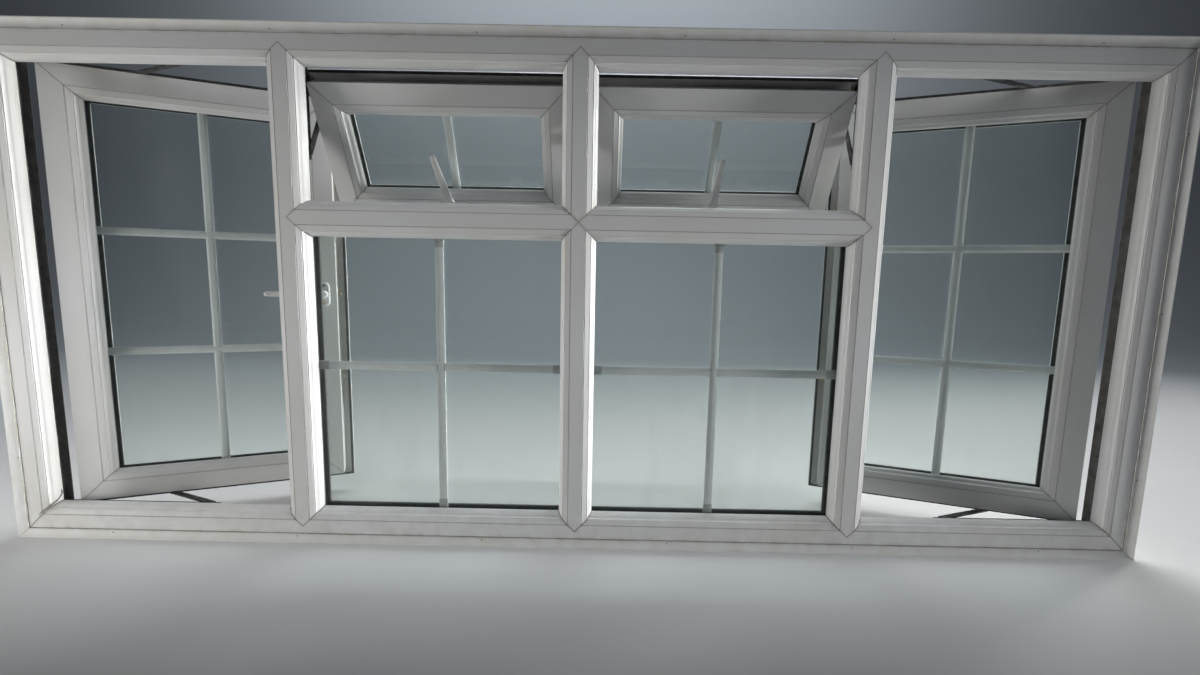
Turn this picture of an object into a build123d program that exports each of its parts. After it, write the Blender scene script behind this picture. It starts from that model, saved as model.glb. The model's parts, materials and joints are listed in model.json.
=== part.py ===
from build123d import *
import os
from math import cos, sin, sqrt, radians

# A white plastic casement window: two side casements, two top vents, two fixed lights.
# Millimetres. X runs right as seen from the room, Y outward, Z up.
# The origin is the centre of the underside of the sill.

# Openings, measured between the moulded edges
casement_opening = 522.0
centre_opening = 530.0
fixed_height = 600.0
vent_height = 268.0

# Outer frame, mullions and transoms
frame_face = 72.0
mullion_face = 74.0
frame_depth = 70.0
upstand_height = 22.0
upstand_back = 27.0
frame_lip = 24.0
arris = 3.0

# Moulded edge shared by every profile, from the flat face to the opening
groove_width = 1.6
groove_depth = 1.3
facet_width = 9.5
facet_rise = 0.8
facet_depth = 4.0
ledge_width = 2.0
ledge_depth = 5.4
cove_width = 4.5
cove_depth = 12.0
cove_bow = 1.0
nose_width = 5.0
nose_bow = 0.9

# Sash profile
sash_gap = 12.0
sash_set_back = 30.0
sash_sight = 64.0
sash_depth = 60.0
sash_lip = 18.0
glazing_lip_back = 21.0
glazing_cover = 20.0
flange_depth = 16.0
flange_reach = 20.0
flange_nose = 2.5

# Sealed units and their gaskets
pane_thick = 4.0
cavity = 12.0
pane_edge_gap = 4.0
gasket_thick = 3.0
gasket_width = 7.0
gasket_inset = 2.0
spacer_height = 8.0
spacer_inset = 1.0
bar_face = 18.0
bar_thick = 8.0
bar_edge = 3.0
bar_bevel = 5.0
fixed_bead_depth = 15.0
sash_bead_depth = 11.0
bead_inset = 2.0
bead_nose = 3.0
bead_bow = 1.5

# Weather seals
weather_seal_thick = 2.7
weather_seal_width = 6.0
weather_seal_inset = 2.0
flange_seal_thick = 3.0
flange_seal_width = 5.0
flange_seal_inset = 1.0

# Cover trim round the room side of the frame
trim_width = 18.0
trim_thick = 8.0
trim_lip = 2.0
trim_bow = 3.0

# Fixing holes and drainage
fixing_hole = 8.0
fixing_from_corner = 145.0
fixing_line = 48.0
drain_slot_length = 28.0
drain_slot_height = 5.0
drain_slot_depth = 6.0
drain_slot_level = 16.0
drain_from_edge = 110.0
air_slot_line = 42.0
air_slot_width = 5.0
air_slot_depth = 6.0

# Sides of the small pins, washers, bores and arm ends
stud_sides = 12

# Friction stays; the short arm is as long as the long arm is longer than its bar
stay_line = 60.0
stay_pivot_gap = 8.0
short_arm = 24.0
casement_bar = 150.0
vent_bar = 75.0
track_width = 18.0
track_base = 1.6
track_wall = 1.5
track_height = 3.2
track_end = 14.0
stay_clearance = 0.3
arm_width = 14.0
arm_thick = 2.5
arm_level = 4.9
bar_level = 9.3
pin_radius = 3.0
pin_clearance = 0.05
collar_radius = 5.0
rivet_head_thick = 1.2

# Lock gear
lock_travel = 18.0
casement_rod = 560.0
vent_rod = 300.0
casement_cams = (-220.0, 0.0, 220.0)
vent_cams = (-110.0, 110.0)
lock_plate_width = 16.0
lock_plate_thick = 2.5
lock_plate_spare = 2.0
rod_width = 12.0
rod_thick = 3.0
rod_clearance = 0.4
cam_pin_radius = 3.5
cam_head_radius = 5.2
cam_head_thick = 3.0
cam_reach = 7.5
gearbox_length = 56.0
gearbox_depth = 30.0
keep_base = 2.0
keep_lip = 3.0
keep_margin = 7.0
keep_lip_stand = 4.0

# Handle
handle_line = 27.0
handle_base_length = 62.0
handle_base_width = 26.0
handle_base_thick = 10.0
handle_base_edge = 2.5
hub_radius = 9.5
hub_seat = 4.0
hub_rise = 10.0
hub_edge = 1.5
lever_length = 121.0
lever_root = 9.5
lever_tip = 6.0
lever_thick = 8.0
lever_lift = 7.0
lever_edge = 2.5
lever_swing = 90.0
spindle_size = 7.0
spindle_hole = 5.4
spindle_short = 1.0

# How far each light stands open
left_casement_open = 21.0
right_casement_open = 19.0
left_vent_open = 27.0
right_vent_open = 27.0

# How far each lever is turned from square to its hinge
left_casement_lever = 0.0
right_casement_lever = 90.0
left_vent_lever = 13.0
right_vent_lever = -4.0

# Spare length of the cutting shapes
cut_spare = 5.0

half_mullion = mullion_face / 2
body_half = half_mullion - upstand_height
opening_height = fixed_height + mullion_face + vent_height
frame_width = 2 * (frame_face + casement_opening + mullion_face + centre_opening) + mullion_face
frame_height = opening_height + 2 * frame_face
room_face = -frame_depth / 2
left_edge = -frame_width / 2
right_edge = frame_width / 2
opening_low = frame_face
opening_high = frame_face + opening_height
mullion_centre_x = half_mullion + centre_opening + half_mullion
transom_z = opening_low + fixed_height + half_mullion
glass_thick = 2 * pane_thick + cavity
sash_overlap = upstand_height - sash_gap
pivot_to_body = sash_gap - stay_pivot_gap
glazing_floor = sash_sight - glazing_cover
body_depth = sash_depth - flange_depth
stay_in_sash = stay_line - sash_set_back


def outline(points):
    """Closed face through points; a third number bows the side that leads to its point."""
    edges = []
    for start, end in zip(points, points[1:] + points[:1]):
        if len(end) == 3:
            edges.append(SagittaArc(start[:2], end[:2], end[2]))
        else:
            edges.append(Line(start[:2], end[:2]))
    return make_face(edges)


def moulding(edge, lip, side):
    """Moulded edge from the flat face to the opening; side is +1 where the opening lies at +n."""
    nose = edge - side * nose_width
    cove = nose - side * cove_width
    ledge = cove - side * ledge_width
    facet = ledge - side * facet_width
    groove = facet - side * groove_width
    return [
        (groove, 0),
        (facet - side * groove_width / 2, groove_depth),
        (facet, facet_rise),
        (ledge, facet_depth),
        (ledge, ledge_depth),
        (cove, ledge_depth),
        (nose, cove_depth, side * cove_bow),
        (edge, lip, -side * nose_bow),
    ]


def frame_section():
    """Outer frame profile, n inward from the outer edge and w outward from the room face."""
    floor = frame_face - upstand_height
    points = [(0, 0)] + moulding(frame_face, frame_lip, 1)
    points += [(frame_face, upstand_back), (floor, upstand_back)]
    points += [(floor, frame_depth - arris), (floor - arris, frame_depth), (0, frame_depth)]
    return outline(points)


def mullion_section():
    """Profile of the mullions and transoms, the same on both sides of its middle."""
    right = moulding(half_mullion, frame_lip, 1)
    right += [(half_mullion, upstand_back), (body_half, upstand_back)]
    right += [(body_half, frame_depth - arris), (body_half - arris, frame_depth)]
    left = []
    for index in range(len(right) - 1, -1, -1):
        point = right[index]
        bow = right[index + 1][2:] if index + 1 < len(right) else ()
        left.append((-point[0], point[1]) + bow)
    return outline(right + left)


def sash_section():
    """Sash profile, u inward from the edge of its body and w outward from its room face."""
    points = [(0, 0)] + moulding(sash_sight, sash_lip, 1)
    points += [(sash_sight, glazing_lip_back), (glazing_floor, glazing_lip_back)]
    points += [(glazing_floor, sash_depth), (flange_nose - flange_reach, sash_depth)]
    points += [(-flange_reach, sash_depth - flange_nose), (-flange_reach, body_depth)]
    points += [(0, body_depth)]
    return outline(points)


def bead_section(cover, near, depth):
    """Glazing bead with a sloped outer face."""
    top = cover - bead_inset
    far = near + depth
    return outline([(0, near), (top, near), (top, near + bead_nose), (top / 2, far, bead_bow),
                    (0, far)])


def trim_section():
    """Cover trim with a rounded face, on the room side of the frame."""
    return outline([(0, 0), (trim_width, 0), (trim_width, -trim_lip),
                    (trim_lip, -trim_thick, -trim_bow), (0, -trim_thick)])


def bar_section():
    """Glazing bar with a bevel along each edge of both faces."""
    side, flat = bar_face / 2, bar_face / 2 - bar_bevel
    edge, face = bar_edge / 2, bar_thick / 2
    return outline([(side, -edge), (side, edge), (flat, face), (-flat, face), (-side, edge),
                    (-side, -edge), (-flat, -face), (flat, -face)])


def length_of(section, start, across, length):
    """Straight length of a profile; across is the way its n axis points."""
    plane = Plane(origin=start, x_dir=across, z_dir=Vector(across).cross(Vector(0, 1, 0)))
    return extrude(plane * section, amount=length, dir=plane.z_dir)


def prism(points):
    """Solid through the whole depth over a polygon given as (x, z)."""
    face = make_face(Polyline([(x, 0, z) for x, z in points], close=True))
    return extrude(face, amount=4 * frame_depth, dir=(0, 1, 0), both=True)


def mitred(section, x0, x1, z0, z1, depth, outer, inner):
    """Four mitred lengths round a rectangle: left, right, bottom and top."""
    wide = x1 - x0 + 2 * outer
    high = z1 - z0 + 2 * outer
    runs = [
        ((x0, depth, z0 - outer), (1, 0, 0), high),
        ((x1, depth, z1 + outer), (-1, 0, 0), high),
        ((x1 + outer, depth, z0), (0, 0, 1), wide),
        ((x0 - outer, depth, z1), (0, 0, -1), wide),
    ]
    low_out, low_in = (x0 - outer, z0 - outer), (x0 + inner, z0 + inner)
    high_out, high_in = (x1 + outer, z1 + outer), (x1 - inner, z1 - inner)
    top_left_out, top_left_in = (x0 - outer, z1 + outer), (x0 + inner, z1 - inner)
    low_right_out, low_right_in = (x1 + outer, z0 - outer), (x1 - inner, z0 + inner)
    shapes = [
        [low_out, low_in, top_left_in, top_left_out],
        [low_right_out, high_out, high_in, low_right_in],
        [low_out, low_right_out, low_right_in, low_in],
        [top_left_out, top_left_in, high_in, high_out],
    ]
    pieces = []
    for (start, across, length), shape in zip(runs, shapes):
        pieces.append(length_of(section, start, across, length) & prism(shape))
    return pieces


def joined(pieces):
    """One solid from pieces that meet."""
    whole = pieces[0]
    for piece in pieces[1:]:
        whole = whole + piece
    return whole


def ring(x0, x1, z0, z1, low, high, near, far):
    """Flat strip round a rectangle, low to high inward from it and near to far in depth."""
    outside = Pos((x0 + x1) / 2, (near + far) / 2, (z0 + z1) / 2) * Box(
        x1 - x0 - 2 * low, far - near, z1 - z0 - 2 * low)
    inside = Pos((x0 + x1) / 2, (near + far) / 2, (z0 + z1) / 2) * Box(
        x1 - x0 - 2 * high, far - near, z1 - z0 - 2 * high)
    return outside - inside


def block(x0, x1, y0, y1, z0, z1):
    """Box between its lowest and highest corners."""
    return Pos((x0 + x1) / 2, (y0 + y1) / 2, (z0 + z1) / 2) * Box(x1 - x0, y1 - y0, z1 - z0)


def rod_along_y(radius, x, z, y0, y1):
    """Cylinder along Y between two depths."""
    return Pos(x, (y0 + y1) / 2, z) * Rot(90, 0, 0) * Cylinder(radius, y1 - y0)


def rod_along_x(radius, y, z, x0, x1):
    """Cylinder along X between two places."""
    return Pos((x0 + x1) / 2, y, z) * Rot(0, 90, 0) * Cylinder(radius, x1 - x0)


def stud(radius, length, hole=False):
    """Many-sided pin along Z; a pin lies inside its circle and a hole outside it."""
    return extrude(RegularPolygon(radius, stud_sides, major_radius=not hole), amount=length)


def disc(radius, x, y, z0, z1, hole=False):
    """Upright stud between two heights."""
    return Pos(x, y, z0) * stud(radius, z1 - z0, hole)


def bore_along_y(radius, x, z, y0, y1):
    """Many-sided hole along Y between two depths."""
    return Pos(x, y0, z) * Rot(-90, 0, 0) * stud(radius, y1 - y0, hole=True)


def notch(x, z, x_way, z_way):
    """Right-angled notch with its tip at (x, z), opening one way along X or Z."""
    reach = half_mullion + cut_spare
    if z_way:
        return prism([(x, z), (x + reach, z + z_way * reach), (x - reach, z + z_way * reach)])
    return prism([(x, z), (x + x_way * reach, z + reach), (x + x_way * reach, z - reach)])


def outer_frame():
    """Jambs, sill and head, mitred at the corners and notched where the mullions meet them."""
    jamb_left, jamb_right, sill, head = mitred(
        frame_section(), left_edge, right_edge, 0, frame_height, room_face, 0, frame_face)
    for x in (-mullion_centre_x, 0, mullion_centre_x):
        head = head - notch(x, opening_high + half_mullion, 0, -1)
        sill = sill - notch(x, opening_low - half_mullion, 0, 1)
    hole_y = room_face + fixing_line
    for z in (opening_low + fixing_from_corner, opening_high - fixing_from_corner):
        jamb_left = jamb_left - rod_along_x(fixing_hole / 2, hole_y, z, left_edge,
                                            left_edge + frame_face)
        jamb_right = jamb_right - rod_along_x(fixing_hole / 2, hole_y, z, right_edge - frame_face,
                                              right_edge)
    outside = room_face + frame_depth
    for x in drain_places():
        sill = sill - block(x - drain_slot_length / 2, x + drain_slot_length / 2,
                            outside - drain_slot_depth, outside,
                            drain_slot_level, drain_slot_level + drain_slot_height)
    slot_y = room_face + air_slot_line
    for low, high in light_edges()[1:3]:
        for x in (low + drain_from_edge, high - drain_from_edge):
            head = head - block(x - drain_slot_length / 2, x + drain_slot_length / 2,
                                slot_y, slot_y + air_slot_width, opening_high + upstand_height,
                                opening_high + upstand_height + air_slot_depth)
    return jamb_left, jamb_right, sill, head


def drain_places():
    """Drainage slots, two under each light."""
    places = []
    for low, high in light_edges():
        places += [low + drain_from_edge, high - drain_from_edge]
    return places


def light_edges():
    """Left and right edges of the four columns of lights."""
    outer = right_edge - frame_face
    inner = mullion_centre_x + half_mullion
    near = mullion_centre_x - half_mullion
    return [(-outer, -inner), (-near, -half_mullion), (half_mullion, near), (inner, outer)]


def side_mullion(x, transom_way):
    """Full-height mullion with pointed ends and a notch where the transom meets it."""
    h = half_mullion
    shape = [(x - h, opening_low), (x, opening_low - h), (x + h, opening_low),
             (x + h, opening_high), (x, opening_high + h), (x - h, opening_high)]
    start = (x, room_face, opening_low - mullion_face)
    bar = length_of(mullion_section(), start, (1, 0, 0), opening_height + 2 * mullion_face)
    return (bar & prism(shape)) - notch(x, transom_z, transom_way, 0)


def centre_mullion():
    """Upper and lower lengths of the centre mullion, which meet at the crossing."""
    h = half_mullion
    start = (0, room_face, opening_low - mullion_face)
    bar = length_of(mullion_section(), start, (1, 0, 0), opening_height + 2 * mullion_face)
    upper = prism([(0, transom_z), (h, transom_z + h), (h, opening_high), (0, opening_high + h),
                   (-h, opening_high), (-h, transom_z + h)])
    lower = prism([(0, transom_z), (-h, transom_z - h), (-h, opening_low), (0, opening_low - h),
                   (h, opening_low), (h, transom_z - h)])
    return [bar & upper, bar & lower]


def transom(x_side, x_centre):
    """Transom with a pointed end into each mullion."""
    h = half_mullion
    way = 1 if x_centre > x_side else -1
    near, far = x_side + way * h, x_centre - way * h
    shape = [(x_side, transom_z), (near, transom_z + h), (far, transom_z + h),
             (x_centre, transom_z), (far, transom_z - h), (near, transom_z - h)]
    length = abs(x_centre - x_side) + 2 * mullion_face
    start = (max(x_side, x_centre) + mullion_face, room_face, transom_z)
    return length_of(mullion_section(), start, (0, 0, 1), length) & prism(shape)


def sealed_unit(x0, x1, z0, z1, cover, front, upright_bars, level_bars):
    """Two panes, the spacer between them and the glazing bars, inside a glazing rebate."""
    panes = []
    for near in (front, front + pane_thick + cavity):
        panes.append(block(x0 + pane_edge_gap, x1 - pane_edge_gap, near, near + pane_thick,
                           z0 + pane_edge_gap, z1 - pane_edge_gap))
    edge = pane_edge_gap + spacer_inset
    inner = edge + spacer_height
    near, far = front + pane_thick, front + pane_thick + cavity
    spacer = ring(x0, x1, z0, z1, edge, inner, near, far)
    middle = (near + far) / 2
    bars = []
    width, height = x1 - x0 - 2 * cover, z1 - z0 - 2 * cover
    for index in range(upright_bars):
        x = x0 + cover + width * (index + 1) / (upright_bars + 1)
        bars.append(length_of(bar_section(), (x, middle, z0 + inner), (1, 0, 0),
                              z1 - z0 - 2 * inner))
    for index in range(level_bars):
        z = z0 + cover + height * (index + 1) / (level_bars + 1)
        bars.append(length_of(bar_section(), (x1 - inner, middle, z), (0, 0, 1),
                              x1 - x0 - 2 * inner))
    return panes, spacer, joined(bars)


def glazing_gaskets(x0, x1, z0, z1, cover, front):
    """Gaskets inside and outside a sealed unit."""
    low, high = cover - gasket_inset - gasket_width, cover - gasket_inset
    back = front + glass_thick
    return [ring(x0, x1, z0, z1, low, high, front - gasket_thick, front),
            ring(x0, x1, z0, z1, low, high, back, back + gasket_thick)]


def fixed_light(low, high):
    """Sealed unit, gaskets and outside beads of one fixed light."""
    x0, x1 = low - upstand_height, high + upstand_height
    z0, z1 = opening_low - upstand_height, opening_low + fixed_height + upstand_height
    front = room_face + upstand_back + gasket_thick
    panes, spacer, bars = sealed_unit(x0, x1, z0, z1, upstand_height, front, 1, 1)
    seals = glazing_gaskets(x0, x1, z0, z1, upstand_height, front) + [spacer]
    bead_near = glass_thick + gasket_thick
    beads = mitred(bead_section(upstand_height, bead_near, fixed_bead_depth), x0, x1, z0, z1,
                   front, 0, upstand_height)
    return panes, bars, seals, beads


def weather_seal(x0, x1, z0, z1):
    """Seal on the back of the upstand round one opening light."""
    near = room_face + upstand_back
    wide = weather_seal_inset + weather_seal_width
    return ring(x0 - wide, x1 + wide, z0 - wide, z1 + wide, 0, weather_seal_width, near,
                near + weather_seal_thick)


class Light:
    """One opening light, drawn shut, hinged at its left, with its hinge pin at the origin."""

    def __init__(self, name, width, height, top_hung, mirrored, pivot, angle, lever_turn):
        self.name = name
        self.across, self.along = (height, width) if top_hung else (width, height)
        self.top_hung = top_hung
        self.mirrored = mirrored
        self.pivot = pivot
        self.angle = angle
        self.lever_turn = lever_turn
        self.lever_stop = min(lever_turn, 0.0)
        self.bar = vent_bar if top_hung else casement_bar
        self.rod = vent_rod if top_hung else casement_rod
        self.cams = vent_cams if top_hung else casement_cams
        self.upright_bars, self.level_bars = (0, 1) if top_hung else (1, 2)
        self.x0 = pivot_to_body
        self.x1 = pivot_to_body + self.across
        self.z1 = self.along / 2
        self.front = -stay_in_sash
        self.floor = self.z1 + sash_gap
        self.fixed_pivot = 2 * self.bar + short_arm
        swung = (self.lever_turn - self.lever_stop) / (lever_swing - self.lever_stop)
        self.rod_slide = lock_travel * swung

    def placed(self, shape):
        """Shape moved from the light's own axes to the window's."""
        if self.mirrored:
            shape = mirror(shape, Plane.YZ)
        if self.top_hung:
            shape = Rot(0, 90, 0) * shape
        return Pos(*self.pivot) * shape

    def slide(self):
        """Move of the hinge pin as the light opens."""
        turn = radians(self.angle)
        return Pos(self.fixed_pivot * (1 - cos(turn)), short_arm * sin(turn), 0)

    def on_sash(self, shape):
        """Shape carried by the open sash."""
        return self.placed(self.slide() * Rot(0, 0, self.angle) * shape)

    def on_lever(self, shape):
        """Shape carried by the turned lever."""
        hub = self.x1 - handle_line
        return self.on_sash(Pos(hub, 0, 0) * Rot(0, -self.lever_turn, 0) * Pos(-hub, 0, 0) * shape)

    def on_lock_rod(self, shape):
        """Shape carried by the sliding lock rod."""
        return self.on_sash(Pos(0, 0, self.rod_slide) * shape)

    def on_long_arm(self, shape):
        """Shape carried by the long arms."""
        at = Pos(self.fixed_pivot, 0, 0)
        back = Pos(-self.fixed_pivot, 0, 0)
        return self.placed(at * Rot(0, 0, -self.angle) * back * shape)

    def on_short_arm(self, shape):
        """Shape carried by the short arms."""
        return self.placed(self.slide() * Rot(0, 0, -self.angle) * shape)

    def at_both_ends(self, shape):
        """Shape drawn at the lower end, and its mirror at the upper end."""
        lower = Pos(0, 0, -self.floor) * shape
        return [lower, mirror(lower, Plane.XY)]


def sash_frame(light):
    """Mitred and welded sash with the lock groove, gearbox pocket and spindle hole."""
    x0, x1, z1 = light.x0, light.x1, light.z1
    sash = joined(mitred(sash_section(), x0, x1, -z1, z1, light.front, flange_reach, sash_sight))
    half = lock_plate_width / 2
    reach = lock_plate_reach(light)
    deep = lock_plate_thick + 2 * rod_clearance + rod_thick
    sash = sash - block(x1 - deep, x1, -half, half, -reach, reach)
    sash = sash - block(x1 - deep - gearbox_depth, x1, -half, half, -gearbox_length / 2, gearbox_length / 2)
    sash = sash - bore_along_y(spindle_hole, x1 - handle_line, 0, light.front, 0)
    return sash


def lock_plate_reach(light):
    """Half the length of the lock plate, past the rod's travel."""
    return light.rod / 2 + lock_travel + lock_plate_spare


def sash_glazing(light):
    """Panes, glazing bars, beads and seals of one sash."""
    x0, x1, z1 = light.x0 + glazing_floor, light.x1 - glazing_floor, light.z1 - glazing_floor
    front = light.front + glazing_lip_back + gasket_thick
    panes, spacer, bars = sealed_unit(x0, x1, -z1, z1, glazing_cover, front,
                                      light.upright_bars, light.level_bars)
    seals = glazing_gaskets(x0, x1, -z1, z1, glazing_cover, front) + [spacer]
    seals.append(flange_seal(light))
    bead_near = glass_thick + gasket_thick
    beads = mitred(bead_section(glazing_cover, bead_near, sash_bead_depth), x0, x1, -z1, z1,
                   front, 0, glazing_cover)
    return panes, bars, seals, beads


def flange_seal(light):
    """Seal under the outer flange, near its edge."""
    reach = flange_reach - flange_seal_inset
    near = light.front + body_depth
    return ring(light.x0 - reach, light.x1 + reach, -light.z1 - reach, light.z1 + reach,
                0, flange_seal_width, near - flange_seal_thick, near)


def slot_plate(x0, x1, width, low, high):
    """Flat bar with round ends centred on x0 and x1."""
    plate = block(x0, x1, -width / 2, width / 2, low, high)
    return plate + disc(width / 2, x0, 0, low, high) + disc(width / 2, x1, 0, low, high)


def stay_track(light):
    """Channel on the frame with the fixed pivot of the long arm."""
    x0, x1 = stay_clearance - stay_pivot_gap, light.fixed_pivot + track_end
    half = track_width / 2
    track = block(x0, x1, -half, half, 0, track_height)
    track = track - block(x0 + track_wall, x1 - track_wall, track_wall - half, half - track_wall,
                          track_base, track_height)
    x = light.fixed_pivot
    track = track + disc(collar_radius, x, 0, 0, arm_level - stay_clearance)
    track = track + disc(pin_radius, x, 0, 0, arm_level + arm_thick + stay_clearance)
    head = arm_level + arm_thick + stay_clearance
    track = track + disc(collar_radius, x, 0, head, head + rivet_head_thick)
    return light.at_both_ends(track)


def long_arm(light):
    """Arm from the fixed pivot to the pin that carries the sash bar."""
    x0, x1 = light.bar, light.fixed_pivot
    top = arm_level + arm_thick
    arm = slot_plate(x0, x1, arm_width, arm_level, top)
    arm = arm - disc(pin_radius + pin_clearance, x1, 0, arm_level, top, hole=True)
    arm = arm + disc(collar_radius, x0, 0, top, bar_level - stay_clearance)
    arm = arm + disc(pin_radius, x0, 0, top, sash_gap - stay_clearance)
    return light.at_both_ends(arm)


def short_link(light):
    """Arm from the hinge pin to the shoe that runs in the track."""
    top = arm_level + arm_thick
    arm = slot_plate(0, short_arm, arm_width, arm_level, top)
    arm = arm + disc(collar_radius, 0, 0, top, bar_level - stay_clearance)
    arm = arm + disc(pin_radius, 0, 0, top, sash_gap - stay_clearance)
    shoe = track_width / 2 - track_wall - stay_clearance
    arm = arm + disc(shoe, short_arm, 0, track_base + stay_clearance, arm_level)
    return light.at_both_ends(arm)


def sash_gear(light):
    """Bars of the stays on the sash edges, and the lock plate with its gearbox."""
    plate = slot_plate(0, light.bar + arm_width, arm_width, bar_level, sash_gap)
    for x in (0, light.bar):
        plate = plate - disc(pin_radius + pin_clearance, x, 0, bar_level, sash_gap, hole=True)
    gear = light.at_both_ends(plate)
    x1, half, reach = light.x1, lock_plate_width / 2, lock_plate_reach(light)
    face = block(x1 - lock_plate_thick, x1, -half, half, -reach, reach)
    slot = cam_pin_radius + rod_clearance
    for z in light.cams:
        face = face - block(x1 - lock_plate_thick, x1, -slot, slot, z - slot, z + lock_travel + slot)
    deep = lock_plate_thick + 2 * rod_clearance + rod_thick
    case = block(x1 - deep - gearbox_depth, x1 - deep, -half, half, -gearbox_length / 2, gearbox_length / 2)
    case = case - bore_along_y(spindle_hole, x1 - handle_line, 0, -half, half)
    return gear + [face, case]


def lock_rod(light):
    """Sliding rod with a mushroom-headed cam for each keep."""
    inner = light.x1 - lock_plate_thick - rod_clearance - rod_thick
    rod = block(inner, inner + rod_thick, -rod_width / 2, rod_width / 2, -light.rod / 2, light.rod / 2)
    top = light.x1 + cam_reach
    for z in light.cams:
        lying = Rot(0, 90, 0)
        rod = rod + Pos(inner, 0, z) * lying * stud(cam_pin_radius, top - inner)
        rod = rod + Pos(top - cam_head_thick, 0, z) * lying * stud(cam_head_radius, cam_head_thick)
    return rod


def lock_keeps(light):
    """Keeps on the frame, each with a lip that holds a cam once the rod has slid."""
    floor = light.x1 + sash_gap
    keeps = []
    side = cam_head_radius + rod_clearance
    for z in light.cams:
        locked = z + lock_travel
        keep = block(floor - keep_base, floor, -side - keep_lip, side + keep_lip,
                     z - keep_margin, locked + keep_margin)
        keep = keep + block(light.x1 + keep_lip_stand, floor, side, side + keep_lip,
                            locked - keep_margin, locked + keep_margin)
        keeps.append(keep)
    return keeps


def handle_base(light):
    """Rounded plate on the sash face with a seat for the hub of the lever."""
    x, back = light.x1 - handle_line, light.front
    plate = SlotOverall(handle_base_length, handle_base_width)
    base = extrude(Plane(origin=(x, back, 0), x_dir=(0, 0, 1), z_dir=(0, -1, 0)) * plate,
                   amount=handle_base_thick, dir=(0, -1, 0))
    front_edges = base.edges().group_by(Axis.Y)[0]
    base = chamfer(front_edges, handle_base_edge)
    seat = back - handle_base_thick
    base = base - rod_along_y(hub_radius + pin_clearance, x, 0, seat, seat + hub_seat)
    base = base - bore_along_y(spindle_hole, x, 0, seat, back)
    return base


def handle_lever(light):
    """Tapered lever that points at the hinge side, with its hub and square spindle."""
    x, seat = light.x1 - handle_line, light.front - handle_base_thick
    hub = rod_along_y(hub_radius, x, 0, seat - hub_rise, seat + hub_seat - stay_clearance)
    hub = chamfer(hub.edges().group_by(Axis.Y)[0], hub_edge)
    spindle = block(x - spindle_size / 2, x + spindle_size / 2, seat,
                    lock_plate_width / 2 - spindle_short, -spindle_size / 2, spindle_size / 2)
    tip = x - lever_length
    low = seat - hub_rise + lever_thick / 2
    raised = low - lever_lift
    crest = raised - lever_thick
    side = outline([
        (x + 2 * lever_root, low), (x - lever_root, low), (x - 3 * lever_root, raised),
        (tip - 2 * lever_tip, raised), (tip - 2 * lever_tip, crest + lever_edge),
        (x - 2 * lever_root, crest), (x + 2 * lever_root, low - lever_thick),
    ])
    slab = extrude(side, amount=2 * lever_root, dir=(0, 0, 1), both=True)
    lean = (lever_root - lever_tip) / lever_length
    square = sqrt(1 - lean ** 2)
    root_x, tip_x = x - lever_root * lean, tip - lever_tip * lean
    plan = outline([
        (root_x, -lever_root * square), (root_x, lever_root * square, -lever_root * (1 + lean)),
        (tip_x, lever_tip * square), (tip_x, -lever_tip * square, -lever_tip * (1 - lean)),
    ])
    grip = slab & (Pos(0, low + cut_spare, 0) * Rot(90, 0, 0) * extrude(plan, amount=4 * lever_thick))
    crown = grip.edges().filter_by(lambda edge: edge.center().Y < low - lever_thick)
    grip = chamfer(crown, lever_edge)
    return grip + hub + spindle


def opening_lights():
    """The four opening lights with their places and the angles they stand at."""
    high = opening_height + 2 * sash_overlap
    wide = casement_opening + 2 * sash_overlap
    vent_wide = centre_opening + 2 * sash_overlap
    vent_high = vent_height + 2 * sash_overlap
    columns = light_edges()
    pin_y = room_face + stay_line
    pin_out = upstand_height - stay_pivot_gap
    middle = (opening_low + opening_high) / 2
    pin_z = opening_high + pin_out
    lights = [
        Light("left_casement", wide, high, False, False,
              (columns[0][0] - pin_out, pin_y, middle), left_casement_open, left_casement_lever),
        Light("right_casement", wide, high, False, True,
              (columns[3][1] + pin_out, pin_y, middle), right_casement_open, right_casement_lever),
        Light("left_vent", vent_wide, vent_high, True, False,
              (sum(columns[1]) / 2, pin_y, pin_z), left_vent_open, left_vent_lever),
        Light("right_vent", vent_wide, vent_high, True, False,
              (sum(columns[2]) / 2, pin_y, pin_z), right_vent_open, right_vent_lever),
    ]
    return lights


def frame_nodes(nodes):
    """Everything that stays with the wall."""
    for name, length in zip(("jamb_left", "jamb_right", "sill", "head"), outer_frame()):
        nodes["frame_" + name] = length
    nodes["mullion_left"] = side_mullion(-mullion_centre_x, 1)
    nodes["mullion_right"] = side_mullion(mullion_centre_x, -1)
    nodes["mullion_centre"] = centre_mullion()
    nodes["transom_left"] = transom(-mullion_centre_x, 0)
    nodes["transom_right"] = transom(mullion_centre_x, 0)
    nodes["cover_trims"] = mitred(trim_section(), left_edge, right_edge, 0, frame_height,
                                  room_face, 0, trim_width)
    columns = light_edges()
    glass, bars, seals, beads = [], [], [], []
    for low, high in columns[1:3]:
        panes, grid, gaskets, strips = fixed_light(low, high)
        glass += panes
        bars.append(grid)
        seals += gaskets
        beads += strips
        seals.append(weather_seal(low, high, transom_z + half_mullion, opening_high))
    for low, high in (columns[0], columns[3]):
        seals.append(weather_seal(low, high, opening_low, opening_high))
    nodes["fixed_glass"] = glass
    nodes["fixed_glazing_bars"] = bars
    nodes["frame_seals"] = seals
    nodes["fixed_beads"] = beads


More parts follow.
